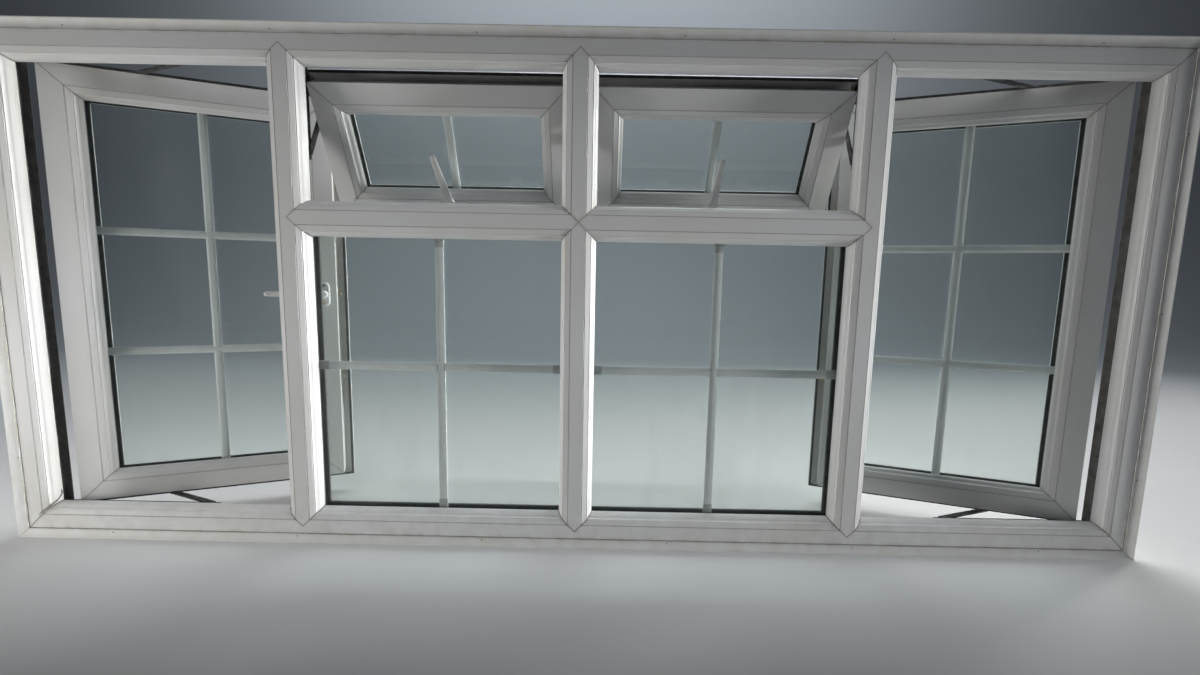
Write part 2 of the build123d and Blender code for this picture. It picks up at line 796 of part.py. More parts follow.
def light_nodes(nodes, light):
    """Every piece of one opening light, and its tracks and keeps on the frame."""
    name = light.name
    panes, bars, seals, beads = sash_glazing(light)
    nodes[name + "_sash"] = light.on_sash(sash_frame(light))
    nodes[name + "_glass"] = [light.on_sash(pane) for pane in panes]
    nodes[name + "_glazing_bars"] = light.on_sash(bars)
    nodes[name + "_seals"] = [light.on_sash(seal) for seal in seals]
    nodes[name + "_beads"] = [light.on_sash(bead) for bead in beads]
    nodes[name + "_edge_gear"] = [light.on_sash(piece) for piece in sash_gear(light)]
    nodes[name + "_lock_rod"] = light.on_lock_rod(lock_rod(light))
    nodes[name + "_handle_base"] = light.on_sash(handle_base(light))
    nodes[name + "_handle"] = light.on_lever(handle_lever(light))
    nodes[name + "_stay_arms"] = [light.on_long_arm(arm) for arm in long_arm(light)]
    nodes[name + "_stay_links"] = [light.on_short_arm(arm) for arm in short_link(light)]
    nodes["stay_tracks"] += [light.placed(track) for track in stay_track(light)]
    nodes["lock_keeps"] += [light.placed(keep) for keep in lock_keeps(light)]


def main():
    """Builds every node and writes it."""
    nodes = {"stay_tracks": [], "lock_keeps": []}
    frame_nodes(nodes)
    for light in opening_lights():
        light_nodes(nodes, light)
    os.makedirs("parts", exist_ok=True)
    for name, shape in nodes.items():
        if isinstance(shape, list):
            solids = [solid for piece in shape for solid in piece.solids()]
            shape = Compound(children=solids)
        export_step(shape, "parts/" + name + ".step")
        print(name, round(shape.volume / 1000, 1), "cm3")


main()
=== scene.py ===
import json
from math import cos, pi, radians, sin

import bmesh
import bpy
from mathutils import Matrix, Vector


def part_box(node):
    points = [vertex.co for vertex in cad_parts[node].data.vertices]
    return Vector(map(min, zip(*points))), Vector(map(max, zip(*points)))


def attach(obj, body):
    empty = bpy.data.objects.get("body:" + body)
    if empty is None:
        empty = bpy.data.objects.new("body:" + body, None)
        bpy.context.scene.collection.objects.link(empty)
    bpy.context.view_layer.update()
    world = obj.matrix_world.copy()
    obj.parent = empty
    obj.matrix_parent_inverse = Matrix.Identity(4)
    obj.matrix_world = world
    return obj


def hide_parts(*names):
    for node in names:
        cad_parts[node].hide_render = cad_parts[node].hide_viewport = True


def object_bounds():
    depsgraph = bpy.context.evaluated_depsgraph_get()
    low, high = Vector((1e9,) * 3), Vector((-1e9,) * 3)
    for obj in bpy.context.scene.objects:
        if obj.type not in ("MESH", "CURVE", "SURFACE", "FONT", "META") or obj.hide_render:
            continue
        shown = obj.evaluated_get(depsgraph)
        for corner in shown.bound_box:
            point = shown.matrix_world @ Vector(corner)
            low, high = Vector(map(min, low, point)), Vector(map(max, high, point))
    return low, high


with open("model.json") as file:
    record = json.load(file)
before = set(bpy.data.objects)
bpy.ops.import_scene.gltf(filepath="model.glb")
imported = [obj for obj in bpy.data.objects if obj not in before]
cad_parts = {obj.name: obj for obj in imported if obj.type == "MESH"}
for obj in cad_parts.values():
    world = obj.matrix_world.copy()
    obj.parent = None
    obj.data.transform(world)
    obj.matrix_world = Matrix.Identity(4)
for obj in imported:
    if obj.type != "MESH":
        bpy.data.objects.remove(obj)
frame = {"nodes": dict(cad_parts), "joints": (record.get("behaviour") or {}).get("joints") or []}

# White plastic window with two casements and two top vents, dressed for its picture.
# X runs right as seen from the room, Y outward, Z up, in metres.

lowCad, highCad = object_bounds()
nodes = frame["nodes"]
joints = {joint["name"]: joint for joint in frame["joints"]}
lightNames = ("left_casement", "right_casement", "left_vent", "right_vent")


# Shader sums

class Wire:
    # an output socket that works in plain Python sums; node() adds any other kind of node
    def __init__(self, tree, socket=None):
        self.tree = tree
        self.socket = socket

    def node(self, kind, settings=None, inputs=None, output=0):
        made = self.tree.nodes.new(kind)
        for key, value in (settings or {}).items():
            setattr(made, key, value)
        for key, value in (inputs or {}).items():
            socket = made.inputs[key]
            if isinstance(value, Wire):
                self.tree.links.new(value.socket, socket)
            elif socket.type == "RGBA":
                socket.default_value = (*value, 1.0)
            else:
                socket.default_value = value
        return Wire(self.tree, made.outputs[output]) if made.outputs else None

    def sum(self, operation, first, second, clamp=False):
        settings = {"operation": operation, "use_clamp": clamp}
        return self.node("ShaderNodeMath", settings, {0: first, 1: second})

    def __add__(self, other):
        return self.sum("ADD", self, other)

    def __sub__(self, other):
        return self.sum("SUBTRACT", self, other)

    def __rsub__(self, other):
        return self.sum("SUBTRACT", other, self)

    def __mul__(self, other):
        return self.sum("MULTIPLY", self, other)

    def __truediv__(self, other):
        return self.sum("DIVIDE", self, other)

    def __abs__(self):
        return self.sum("ABSOLUTE", self, 0.0)

    def __lt__(self, other):
        return self.sum("LESS_THAN", self, other)

    def __gt__(self, other):
        return self.sum("GREATER_THAN", self, other)

    __radd__ = __add__
    __rmul__ = __mul__

    def clip(self):
        return self.sum("ADD", self, 0.0, clamp=True)

    def least(self, other):
        return self.sum("MINIMUM", self, other)

    def band(self, halfWidth, edge):
        # 1 where the value is under halfWidth, fading to 0 over edge
        return ((halfWidth + edge - self) / edge).clip()

    def along(self, direction):
        return self.node("ShaderNodeVectorMath", {"operation": "DOT_PRODUCT"},
                         {0: self, 1: direction}, "Value")

    def shifted(self, back):
        return self.node("ShaderNodeVectorMath", {"operation": "SUBTRACT"}, {0: self, 1: back})

    def stretched(self, factors):
        return self.node("ShaderNodeVectorMath", {"operation": "MULTIPLY"}, {0: self, 1: factors})

    def mixed(self, first, second):
        # colour that goes from first to second as this value goes from 0 to 1
        return self.node("ShaderNodeMix", {"data_type": "RGBA"}, {0: self, 6: first, 7: second}, 2)

    def noise(self, scale, detail=2.0, roughness=0.5):
        return self.node("ShaderNodeTexNoise", {},
                         {"Vector": self, "Scale": scale, "Detail": detail, "Roughness": roughness})

    def between(self, low, high):
        # spreads the values from low to high over 0 to 1
        return ((self - low) / (high - low)).clip()


def newMaterial(name):
    material = bpy.data.materials.new(name)
    material.use_nodes = True
    tree = material.node_tree
    tree.nodes.clear()
    start = Wire(tree)
    return material, start, start.node("ShaderNodeTexCoord", {}, {}, "Object")


def finishMaterial(start, colour, roughness, height=None, lift=0.0, metal=0.0, gloss=0.5):
    settings = {"Base Color": colour, "Roughness": roughness, "Metallic": metal,
                "Specular IOR Level": gloss}
    if height is not None:
        settings["Normal"] = start.node("ShaderNodeBump", {}, {"Height": height, "Strength": 1.0,
                                                               "Distance": lift})
    surface = start.node("ShaderNodeBsdfPrincipled", {}, settings)
    start.node("ShaderNodeOutputMaterial", {}, {"Surface": surface})


def dress(nodeName, material):
    for slot in nodes[nodeName].material_slots:
        slot.material = material


# Where the pieces of the opening lights lie

lightShape = {
    "bodyStart": 0.004,      # from the hinge pin to the edge of the sash
    "front": -0.030,         # room face of the sash, out from the hinge pin
    "sashSight": 0.064,      # from the edge of the sash to its moulded edge
    "flangeReach": 0.020,    # the flange reaches this far past the sash on each side
    "glassFront": -0.006,    # room face of the glass, out from the hinge pin
    "paneThick": 0.004,
    "cavity": 0.012,
    "handleLine": 0.027,     # from the free edge of the sash to the handle's hub
    "shortArm": 0.024,
    "casementBar": 0.150,
    "ventBar": 0.075,
    "gap": 0.012,            # between the sash and the frame, where the stays lie
    "grooveEnds": 0.004,     # these four run outward from the room face
    "rebateFrom": 0.034,
    "rebateTo": 0.0445,
    "outsideFrom": 0.050,
}


class LightPlace:
    # where one open light stands: across from the hinge, out from the room, along the hinge
    def __init__(self, name):
        pin = joints[name + "_link_turn"]
        turn = -radians(joints[name + "_open"]["range_deg"][0])
        self.topHung = name.endswith("vent")
        side = -1.0 if name == "right_casement" else 1.0
        self.bar = lightShape["ventBar" if self.topHung else "casementBar"]
        self.shut = Vector((0, 0, -1)) if self.topHung else Vector((side, 0, 0))
        self.lengthwise = Vector((1, 0, 0)) if self.topHung else Vector((0, 0, 1))
        self.outward = Vector((0, 1, 0))
        self.across = self.shut * cos(turn) + self.outward * sin(turn)
        self.normal = self.outward * cos(turn) - self.shut * sin(turn)
        self.pin = Vector(pin["pos_m"])
        slide = Vector((0, 0, 0))
        self.pivotLine = 2 * self.bar + lightShape["shortArm"]
        slide += self.shut * self.pivotLine * (1 - cos(turn))
        slide += self.outward * lightShape["shortArm"] * sin(turn)
        self.shutPin = self.pin - slide
        handle = joints[name + "_handle_turn"]
        offset = Vector(handle["pos_m"]) - self.pin
        self.size = offset.dot(self.across) + lightShape["handleLine"] - lightShape["bodyStart"]
        low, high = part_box(name + "_sash")
        span = (high - low).dot(self.lengthwise)
        self.length = span - 2 * lightShape["flangeReach"]

    def at(self, across, outward, along):
        return self.pin + self.across * across + self.normal * outward + self.lengthwise * along


places = {name: LightPlace(name) for name in lightNames}

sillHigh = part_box("frame_sill")[1]
headLow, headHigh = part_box("frame_head")
middleLow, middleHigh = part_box("mullion_centre")
sideLow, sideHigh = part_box("mullion_right")
transomLow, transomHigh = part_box("transom_right")
frameHigh = headHigh.z
halfWide = headHigh.x
halfMullion = (middleHigh.x - middleLow.x) / 2
mullionX = (sideLow.x + sideHigh.x) / 2
transomZ = (transomLow.z + transomHigh.z) / 2
middleZ = frameHigh / 2
casementWide = halfWide - sillHigh.z - mullionX - halfMullion
tipRise = (sideHigh.z - sideLow.z) / 2
roomFace = headLow.y

frameShape = {
    "grooveInward": 0.0218,  # from the moulded edge to the fine groove in the face
    "grooveEnds": 0.004,     # the grooves lie no deeper than this behind the room face
    "rebateFrom": 0.0265,    # depth of the rebate behind the moulded edge, darkened with painted shade and grime
    "rebateTo": 0.0690,
    "spacerInside": 0.009,   # from the moulded edge to the spacer
    "trimWidth": 0.0186,     # from the outer edge to the dirt line beside the cover trim
    "lowBand": 0.10,         # height over which the sill's dust fades out
    "lowDust": 0.5,
    "lowSeam": 0.0008,       # seams look this much wider down there
    "mullionReach": 1.02,    # a mullion's welds reach this share of its half width
}
cosDiagonal = cos(pi / 4)    # from a difference of distances to the distance from a mitre
print("places worked out")


# White plastic

plastic = {
    "clean": (0.80, 0.80, 0.795),
    "aged": (0.755, 0.745, 0.71),
    "weld": (0.17, 0.15, 0.125),
    "grime": (0.33, 0.30, 0.25),
    # dark colour of the painted shade, with some grime, in the rebates
    "rebateShadeAndGrime": (0.075, 0.072, 0.068),
    "roughness": 0.34,
    "cloudScale": 3.2,       # wide yellowing
    "cloudRange": (0.35, 0.7),
    "patchScale": 38.0,      # patches of dirt
    "dustRange": (0.4, 0.75),
    "speckScale": 420.0,
    "speckRange": (0.73, 0.78),
    "speckPatches": (0.45, 0.65),
    "weldHalf": 0.00035,
    "weldFade": 0.0006,
    "haloWide": 0.007,
    "haloRange": (0.42, 0.72),
    "grooveHalf": 0.0006,
    "grooveFade": 0.0007,
    "dustDirt": 0.35,        # from here on, how strongly each kind of dirt, and the painted shade in the rebates, shows
    "haloDirt": 0.38,
    "speckDirt": 0.3,
    "rebateShadeAndGrimeAmount": (0.62, 0.5),       # everywhere, and more with the patches
    "grooveDirt": (0.42, 0.3),
    "weldDirt": (0.62, 0.4),
    "patchRough": 0.22,
    "haloRough": 0.2,
    "dustRough": 0.1,
    "drawLine": 900.0,       # draw lines are fine across the profile and long along it
    "drawLength": 6.0,
    "bumpLift": 0.00012,
    "bumpShares": {"lines": 0.5, "specks": 0.25, "weld": 2.4, "groove": 0.6},
    "sashOutsideDust": 0.45,
    # painted shade with some grime in the sash's rebate
    "sashRebateShadeAndGrime": 0.5,
}


def frameWelds(x, z):
    # distance to the nearest weld of the outer frame, mullions and transoms
    far = 1.0    # added where a weld doesn't reach
    inX = halfWide - abs(x)
    inZ = middleZ - abs(z - middleZ)
    nearest = abs(inX - inZ)
    tip = tipRise - abs(z - middleZ)
    reach = halfMullion * frameShape["mullionReach"]
    for offset in (abs(abs(x) - mullionX), abs(x)):
        away = (offset > reach) * far
        nearest = nearest.least(abs(offset - tip) + away)
    rise = abs(z - transomZ)
    away = (rise > reach) * far
    nearest = nearest.least(abs(rise - (mullionX - abs(x))) + away)
    away = (abs(x) > reach) * far
    nearest = nearest.least(abs(rise - abs(x)) + away)
    return nearest * cosDiagonal


def plasticLook(start, point, weld, grooves, lines, dust, deep):
    # shared finish: draw lines along the profile, dirt in the welds and grooves, painted shade with
    # grime in the rebates
    cloud = point.noise(plastic["cloudScale"], 4.0)
    patch = point.noise(plastic["patchScale"], 5.0, 0.62)
    specks = point.noise(plastic["speckScale"], 2.0)
    weldMask = weld.band(plastic["weldHalf"], plastic["weldFade"])
    weldHalo = weld.band(0.0, plastic["haloWide"]) * patch.between(*plastic["haloRange"])
    grooveMask = grooves.band(plastic["grooveHalf"], plastic["grooveFade"])
    speckMask = specks.between(*plastic["speckRange"]) * patch.between(*plastic["speckPatches"])
    dusty = dust * patch.between(*plastic["dustRange"]) * plastic["dustDirt"]
    spotted = weldHalo * plastic["haloDirt"] + speckMask * plastic["speckDirt"]

    # darkens a mask: dirt in welds and grooves, painted shade with grime in the rebates
    def dirtAndShade(mask, kind):
        everywhere, patchy = plastic[kind]
        return (mask * (everywhere + patchy * patch)).clip()

    colour = cloud.between(*plastic["cloudRange"]).mixed(plastic["clean"], plastic["aged"])
    colour = dusty.clip().mixed(colour, plastic["grime"])
    colour = spotted.clip().mixed(colour, plastic["grime"])
    # painted shade, with some grime, darkens the rebates
    colour = dirtAndShade(deep, "rebateShadeAndGrimeAmount").mixed(colour, plastic["rebateShadeAndGrime"])
    colour = dirtAndShade(grooveMask, "grooveDirt").mixed(colour, plastic["grime"])
    colour = dirtAndShade(weldMask, "weldDirt").mixed(colour, plastic["weld"])
    roughness = plastic["roughness"] + plastic["patchRough"] * (patch - 0.5)
    roughness = roughness + plastic["haloRough"] * weldHalo + plastic["dustRough"] * dust
    shares = plastic["bumpShares"]
    height = shares["lines"] * lines + shares["specks"] * specks
    height = height - shares["weld"] * weldMask - shares["groove"] * grooveMask
    finishMaterial(start, colour, roughness.clip(), height, plastic["bumpLift"])


def framePlastic(nodeName, upright, grooveMiddle, grooveOut):
    material, start, point = newMaterial("white_upvc_" + nodeName)
    x, y, z = (point.along(axis) for axis in ((1, 0, 0), (0, 1, 0), (0, 0, 1)))
    run = (plastic["drawLine"], plastic["drawLine"], plastic["drawLength"])
    if not upright:
        run = (plastic["drawLength"], plastic["drawLine"], plastic["drawLine"])
    lines = point.stretched(run).noise(1.0, 1.0)
    side = x if upright else z
    behind = y > roomFace + frameShape["grooveEnds"]
    grooves = abs(abs(side - grooveMiddle) - grooveOut) + behind
    low = z.band(sillHigh.z, frameShape["lowBand"]) * frameShape["lowDust"]
    rim = (halfWide - abs(x)).least(z).least(frameHigh - z)
    # the frame's rebate gets painted shade with some grime
    deep = (y > roomFace + frameShape["rebateFrom"]) * (y < roomFace + frameShape["rebateTo"])
    deep = deep * (rim > frameShape["trimWidth"])
    seams = frameWelds(x, z).least(abs(rim - frameShape["trimWidth"]))
    seams = seams - low * frameShape["lowSeam"]
    plasticLook(start, point, seams, grooves, lines, low, deep)
    dress(nodeName, material)


def sashPlastic(name):
    place = places[name]
    material, start, world = newMaterial("white_upvc_" + name)
    point = world.shifted(place.pin)
    across = point.along(place.across)
    outward = point.along(place.normal)
    along = point.along(place.lengthwise)
    middle = lightShape["bodyStart"] + place.size / 2
    inAcross = place.size / 2 - abs(across - middle)
    inAlong = place.length / 2 - abs(along)
    rail = inAlong < inAcross
    local = start.node("ShaderNodeCombineXYZ", {}, {0: across, 1: outward, 2: along})
    fine, run = plastic["drawLine"], plastic["drawLength"]
    upLines = local.stretched((fine, fine, run)).noise(1.0, 1.0)
    acrossLines = local.stretched((run, fine, fine)).noise(1.0, 1.0)
    lines = upLines * (1 - rail) + acrossLines * rail
    edge = inAcross.least(inAlong)
    depth = outward - lightShape["front"]
    grooves = abs(edge - (lightShape["sashSight"] - frameShape["grooveInward"]))
    grooves = grooves + (depth > lightShape["grooveEnds"])
    outside = (depth > lightShape["outsideFrom"]) * plastic["sashOutsideDust"]
    # the sash's rebate gets painted shade with some grime
    deep = (depth > lightShape["rebateFrom"]) * (depth < lightShape["rebateTo"])
    plasticLook(start, world, abs(inAcross - inAlong) * cosDiagonal, grooves, lines, outside,
                deep * plastic["sashRebateShadeAndGrime"])
    dress(name + "_sash", material)
    dress(name + "_beads", material)


grooveFromEdge = sillHigh.z - frameShape["grooveInward"]
grooveFromMiddle = halfMullion - frameShape["grooveInward"]
framePlastic("frame_head", False, frameHigh, grooveFromEdge)
framePlastic("frame_sill", False, 0.0, grooveFromEdge)
framePlastic("frame_jamb_left", True, -halfWide, grooveFromEdge)
framePlastic("frame_jamb_right", True, halfWide, grooveFromEdge)
framePlastic("mullion_left", True, -mullionX, grooveFromMiddle)
framePlastic("mullion_right", True, mullionX, grooveFromMiddle)
framePlastic("mullion_centre", True, 0.0, grooveFromMiddle)
framePlastic("transom_left", False, transomZ, grooveFromMiddle)
framePlastic("transom_right", False, transomZ, grooveFromMiddle)
framePlastic("fixed_beads", True, 0.0, 2 * halfWide)    # no grooves on these
for lightName in lightNames:
    sashPlastic(lightName)
print("white plastic done")


# Cover trims

trims = {
    "clean": (0.79, 0.79, 0.77),
    "aged": (0.72, 0.70, 0.64),
    "grime": (0.30, 0.27, 0.22),
    "roughness": 0.42,
    "roughSpread": 0.2,
    "patchScale": 24.0,
    "patchRange": (0.4, 0.75),
    "streaks": (4.0, 900.0, 900.0),
    "weldHalf": 0.0004,
    "weldFade": 0.0008,
    "weldDirt": 0.8,
    "edgeFrom": (0.0158, 0.0178),     # from the outer edge, where the inner edge is darkened with grime and painted shade
    "edgePatches": (0.3, 0.6),
    "edgeGrimeAndShade": 0.55,
    "streakHeight": 0.4,
    "weldHeight": 1.5,
    "bumpLift": 0.0001,
}


def trimLook():
    material, start, point = newMaterial("white_trim")
    x, z = point.along((1, 0, 0)), point.along((0, 0, 1))
    patch = point.noise(trims["patchScale"], 5.0, 0.6)
    streaks = point.stretched(trims["streaks"]).noise(1.0, 1.0)
    weld = abs((halfWide - abs(x)) - (middleZ - abs(z - middleZ)))
    weldMask = weld.band(trims["weldHalf"], trims["weldFade"])
    rim = (halfWide - abs(x)).least(z).least(frameHigh - z)
    edgeGrimeAndShadeMask = rim.between(*trims["edgeFrom"]) * patch.between(*trims["edgePatches"])
    colour = patch.between(*trims["patchRange"]).mixed(trims["clean"], trims["aged"])
    # grime and painted shade along the trim's inner edge, where it meets the frame
    colour = (edgeGrimeAndShadeMask * trims["edgeGrimeAndShade"]).mixed(colour, trims["grime"])
    colour = (weldMask * trims["weldDirt"]).mixed(colour, trims["grime"])
    height = trims["streakHeight"] * streaks - trims["weldHeight"] * weldMask
    finishMaterial(start, colour, trims["roughness"] + trims["roughSpread"] * (patch - 0.5),
                   height, trims["bumpLift"])
    dress("cover_trims", material)


trimLook()


# Glass with a little dust

glass = {
    "tint": (0.965, 0.985, 0.978),
    "dust": (0.80, 0.80, 0.78),
    "haze": 0.014,
    "smear": 0.045,
    "smearStretch": (5.0, 5.0, 1.6),
    "smearRange": (0.5, 0.85),
    "speckDust": 0.10,
    "speckScale": 260.0,
    "speckRange": (0.72, 0.80),
    "head-on": 0.03,
    "edge-on": 0.6,
    "roughness": 0.015,
}


def glassLook(nodeName):
    material, start, point = newMaterial("clear_glass_" + nodeName)
    smear = point.stretched(glass["smearStretch"]).noise(1.0, 5.0, 0.65)
    smear = smear.between(*glass["smearRange"])
    specks = point.noise(glass["speckScale"], 2.0).between(*glass["speckRange"])
    dust = (glass["haze"] + glass["smear"] * smear + glass["speckDust"] * specks * smear).clip()
    clear = start.node("ShaderNodeBsdfTransparent", {}, {"Color": glass["tint"]})
    mirror = start.node("ShaderNodeBsdfGlossy", {}, {"Color": (1.0, 1.0, 1.0),
                                                     "Roughness": glass["roughness"]})
    facing = start.node("ShaderNodeLayerWeight", {}, {"Blend": 0.5}, "Facing")
    fifth = facing * facing * facing * facing * facing
    shine = glass["head-on"] + glass["edge-on"] * fifth
    pane = start.node("ShaderNodeMixShader", {}, {0: shine, 1: clear, 2: mirror})
    film = start.node("ShaderNodeBsdfDiffuse", {}, {"Color": glass["dust"]})
    surface = start.node("ShaderNodeMixShader", {}, {0: dust, 1: pane, 2: film})
    start.node("ShaderNodeOutputMaterial", {}, {"Surface": surface})
    dress(nodeName, material)


for nodeName in ["fixed_glass"] + [name + "_glass" for name in lightNames]:
    glassLook(nodeName)
print("glass done")


# White bars inside the glass

bars = {
    "clean": (0.93, 0.93, 0.925),
    "dull": (0.88, 0.88, 0.87),
    "roughness": 0.45,
    "roughSpread": 0.15,
    "patchScale": 60.0,
    "patchRange": (0.4, 0.7),
    "bumpLift": 0.00005,
}


def barMaterial(name):
    material, start, point = newMaterial("white_bar_" + name)
    patch = point.noise(bars["patchScale"], 3.0)
    colour = patch.between(*bars["patchRange"]).mixed(bars["clean"], bars["dull"])
    finishMaterial(start, colour, bars["roughness"] + bars["roughSpread"] * (patch - 0.5), patch,
                   bars["bumpLift"])
    return material


for nodeName in ["fixed_glazing_bars"] + [name + "_glazing_bars" for name in lightNames]:
    dress(nodeName, barMaterial(nodeName))


# Rubber, and the metal spacers between the panes

rubber = {
    "black": (0.018, 0.018, 0.019),
    "dusty": (0.09, 0.088, 0.082),
    "roughness": 0.55,
    "roughSpread": 0.15,
    "patchScale": 55.0,
    "patchRange": (0.45, 0.8),
    "grainScale": 700.0,
    "bumpLift": 0.00008,
}
spacer = {
    "metal": (0.30, 0.31, 0.32),
    "dark": (0.16, 0.165, 0.17),
    "roughness": 0.38,
    "metallic": 0.6,
    "edgeSpare": 0.0002,     # the metal band stops short of the panes
    "dotScale": 500.0,
    "dotHalf": 0.05,
    "patchShare": 0.6,
}


def rubberLook(nodeName, origin, outDirection, cavityNear, cavityFar):
    material, start, world = newMaterial("black_rubber_" + nodeName)
    depth = world.shifted(origin).along(outDirection)
    spare = spacer["edgeSpare"]
    between = (depth > cavityNear + spare) * (depth < cavityFar - spare)
    patch = world.noise(rubber["patchScale"], 4.0, 0.6)
    dots = abs(world.noise(spacer["dotScale"], 0.0) - 0.5)
    dots = dots.band(spacer["dotHalf"], spacer["dotHalf"])
    dark = (patch * spacer["patchShare"] + (1 - spacer["patchShare"]) * dots).clip()
    metal = dark.mixed(spacer["metal"], spacer["dark"])
    dusty = patch.between(*rubber["patchRange"]).mixed(rubber["black"], rubber["dusty"])
    roughness = rubber["roughness"] + (spacer["roughness"] - rubber["roughness"]) * between
    finishMaterial(start, between.mixed(dusty, metal),
                   roughness + rubber["roughSpread"] * (patch - 0.5),
                   world.noise(rubber["grainScale"]), rubber["bumpLift"],
                   metal=between * spacer["metallic"])
    dress(nodeName, material)


glassIn = lightShape["glassFront"] + lightShape["paneThick"]
for name in lightNames:
    rubberLook(name + "_seals", places[name].pin, places[name].normal, glassIn,
               glassIn + lightShape["cavity"])
fixedLow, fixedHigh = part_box("fixed_glass")
rubberLook("frame_seals", Vector((0, 0, 0)), Vector((0, 1, 0)),
           fixedLow.y + lightShape["paneThick"], fixedHigh.y - lightShape["paneThick"])
print("rubber done")


# Steel stays, zinc lock gear and white handles

steel = {
    "bare": (0.20, 0.20, 0.205),
    "dark": (0.065, 0.06, 0.058),
    "rust": (0.16, 0.065, 0.03),
    "rustShare": 0.7,
    "roughness": 0.30,
    "roughSpread": 0.4,
    "metallic": 0.9,
    "patchScale": 70.0,
    "darkRange": (0.35, 0.65),
    "rustRange": (0.60, 0.72),
    "dullRange": (0.55, 0.75),
    "brushed": (60.0, 60.0, 900.0),
    "bumpLift": 0.00006,
}
zinc = {
    "yellow": (0.62, 0.46, 0.20),
    "pale": (0.60, 0.57, 0.50),
    "dark": (0.20, 0.14, 0.07),
    "darkShare": 0.6,
    "roughness": 0.22,
    "roughSpread": 0.35,
    "metallic": 0.95,
    "patchScale": 90.0,
    "paleRange": (0.35, 0.6),
    "darkRange": (0.62, 0.75),
    "bumpLift": 0.00005,
}
handle = {
    "clean": (0.88, 0.875, 0.865),
    "worn": (0.74, 0.72, 0.69),
    "wornShare": 0.5,
    "roughness": 0.28,
    "roughSpread": 0.2,
    "wornShine": 0.1,
    "patchScale": 45.0,
    "wornReach": (0.03, 0.11),     # out from the hub, where hands rub the lever
    "wornRange": (0.45, 0.75),
    "peelScale": 900.0,
    "bumpLift": 0.00004,
}


def steelLook(nodeName):
    material, start, point = newMaterial("stay_steel_" + nodeName)
    patch = point.noise(steel["patchScale"], 5.0, 0.65)
    fine = point.stretched(steel["brushed"]).noise(1.0, 2.0)
    colour = patch.between(*steel["darkRange"]).mixed(steel["bare"], steel["dark"])
    rusty = patch.between(*steel["rustRange"]) * steel["rustShare"]
    finishMaterial(start, rusty.mixed(colour, steel["rust"]),
                   (steel["roughness"] + steel["roughSpread"] * patch).clip(), fine,
                   steel["bumpLift"],
                   metal=(1.0 - patch.between(*steel["dullRange"])) * steel["metallic"])
    dress(nodeName, material)


def zincLook(nodeName):
    material, start, point = newMaterial("zinc_plate_" + nodeName)
    patch = point.noise(zinc["patchScale"], 4.0, 0.6)
    colour = patch.between(*zinc["paleRange"]).mixed(zinc["yellow"], zinc["pale"])
    darker = patch.between(*zinc["darkRange"]) * zinc["darkShare"]
    finishMaterial(start, darker.mixed(colour, zinc["dark"]),
                   (zinc["roughness"] + zinc["roughSpread"] * patch).clip(), patch,
                   zinc["bumpLift"], metal=zinc["metallic"])
    dress(nodeName, material)


def handleLook(nodeName, centre):
    material, start, point = newMaterial("white_handle_" + nodeName)
    patch = point.noise(handle["patchScale"], 4.0)
    peel = point.noise(handle["peelScale"], 1.0)
    reach = start.node("ShaderNodeVectorMath", {"operation": "DISTANCE"}, {0: point, 1: centre},
                       "Value")
    worn = reach.between(*handle["wornReach"]) * patch.between(*handle["wornRange"])
    colour = (worn * handle["wornShare"]).mixed(handle["clean"], handle["worn"])
    roughness = handle["roughness"] + handle["roughSpread"] * patch - handle["wornShine"] * worn
    finishMaterial(start, colour, roughness.clip(), peel, handle["bumpLift"])
    dress(nodeName, material)


steelLook("stay_tracks")
zincLook("lock_keeps")
for name in lightNames:
    for piece in ("_stay_arms", "_stay_links"):
        steelLook(name + piece)
    for piece in ("_edge_gear", "_lock_rod"):
        zincLook(name + piece)
    hub = Vector(joints[name + "_handle_turn"]["pos_m"])
    handleLook(name + "_handle", hub)
    handleLook(name + "_handle_base", hub)
print("metal and handles done")


# Screws, rivets and nails, turned round an axis

turnedSides = 24
screwShape = {
    "head": ((0.0, 1.0), (0.45, 1.0), (0.85, 0.88), (1.0, 0.72)),    # rise and radius shares
    "crossReach": 0.60,
    "crossHalf": 0.17,
    "crossFloor": 0.8,       # share of the cross that reaches its floor
    "floorRise": 0.15,
}
rivetShape = ((0.0, 1.0), (0.35, 1.0), (0.75, 0.80), (0.95, 0.50), (1.0, 0.12))


def crossRadii(reach, half):
    # outline of a cross-shaped recess, one radius for each side
    radii = []
    for index in range(turnedSides):
        turn = (index * 2 * pi / turnedSides + pi / 4) % (pi / 2) - pi / 4
        atEnd = abs(sin(turn)) * reach <= half * cos(turn)
        radii.append(reach / cos(turn) if atEnd else half / abs(sin(turn)))
    return radii


def slotRadii(reach, half):
    # outline of a straight slot, one radius for each side
    radii = []
    for index in range(turnedSides):
        turn = index * 2 * pi / turnedSides
        atEnd = abs(sin(turn)) * reach <= half * abs(cos(turn))
        radii.append(reach / abs(cos(turn)) if atEnd else half / abs(sin(turn)))
    return radii


def domeRings(shape, rise, radius):
    return [(rise * up, radius * out) for up, out in shape]


